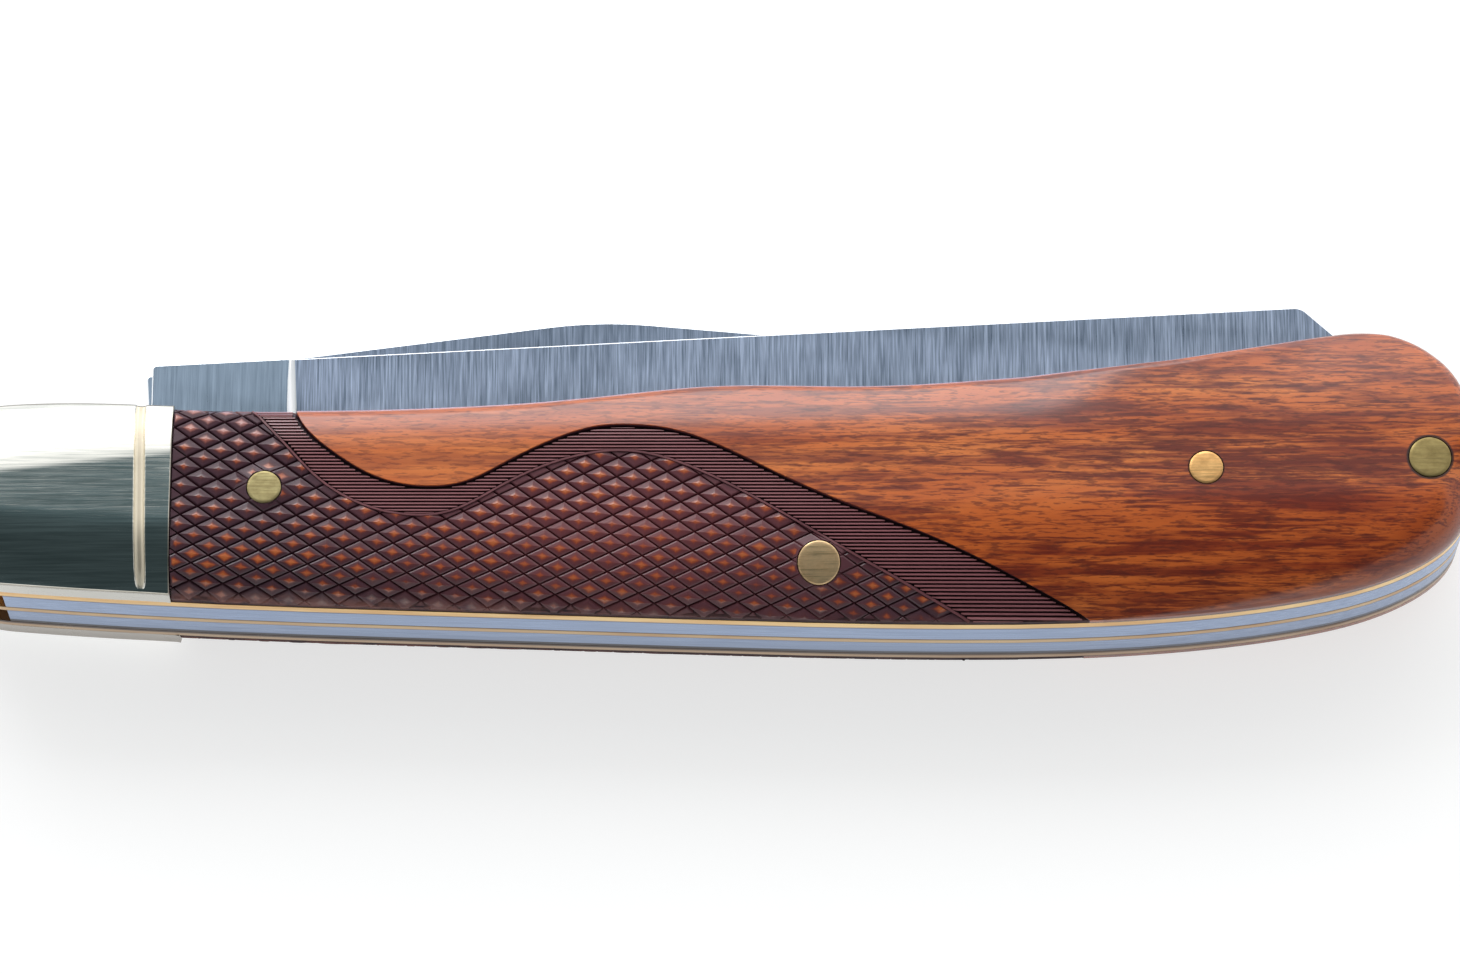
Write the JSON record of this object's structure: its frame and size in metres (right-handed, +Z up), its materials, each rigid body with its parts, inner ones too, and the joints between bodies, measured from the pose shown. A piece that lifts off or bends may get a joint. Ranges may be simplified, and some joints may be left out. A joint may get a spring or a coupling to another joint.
{
  "type": "folding pocket knife",
  "caption": "Folding pocket knife with a spey blade and a clip blade on one pivot, held by back springs, with polished bolsters and checkered wooden scales.",
  "frame": {"origin": "foot of the pivot axis on the flat land of the lower bolster, the plane the closed knife lies on", "axes": "+X along the handle from the pivot to the tail, +Y from the back springs towards the blade side, +Z up through the thickness"},
  "size_m": [0.105, 0.0237, 0.0134],
  "materials": {
    "blade_steel": "satin, ground flat across the blade",
    "spring_steel": "polished along the back",
    "liner_brass": "satin",
    "bolster_nickel_silver": "mirror polished with fine scratches",
    "scale_wood": "carved and polished",
    "pivot_nickel_silver": "polished flush",
    "pin_brass": "dull, ground flush",
    "rivet_brass": "plain"
  },
  "bodies": {
    "handle": {"upper_liner": "liner_brass", "centre_liner": "liner_brass", "lower_liner": "liner_brass", "spey_spring": "spring_steel", "clip_spring": "spring_steel", "upper_bolster": "bolster_nickel_silver", "lower_bolster": "bolster_nickel_silver", "upper_scale": "scale_wood", "lower_scale": "scale_wood", "pivot_pin": "pivot_nickel_silver", "centre_pin": "pin_brass", "tail_pin": "pin_brass", "upper_scale_pin_front": "pin_brass", "upper_scale_pin_rear": "pin_brass", "lower_scale_pin_front": "pin_brass", "lower_scale_pin_rear": "pin_brass", "upper_bolster_rivet_upper": "rivet_brass", "upper_bolster_rivet_lower": "rivet_brass", "lower_bolster_rivet_upper": "rivet_brass", "lower_bolster_rivet_lower": "rivet_brass"},
    "spey_blade": {"spey_blade": "blade_steel"},
    "clip_blade": {"clip_blade": "blade_steel"}
  },
  "joints": [
    {"name": "spey_hinge", "type": "hinge", "parent": "handle", "child": "spey_blade", "pos_m": [0, 0, 0.0082], "axis": [0, 0, 1], "range_deg": [0, 180], "deforming": ["spey_spring"]},
    {"name": "clip_hinge", "type": "hinge", "parent": "handle", "child": "clip_blade", "pos_m": [0, 0, 0.0052], "axis": [0, 0, 1], "range_deg": [0, 175.5], "deforming": ["clip_spring"]}
  ]
}
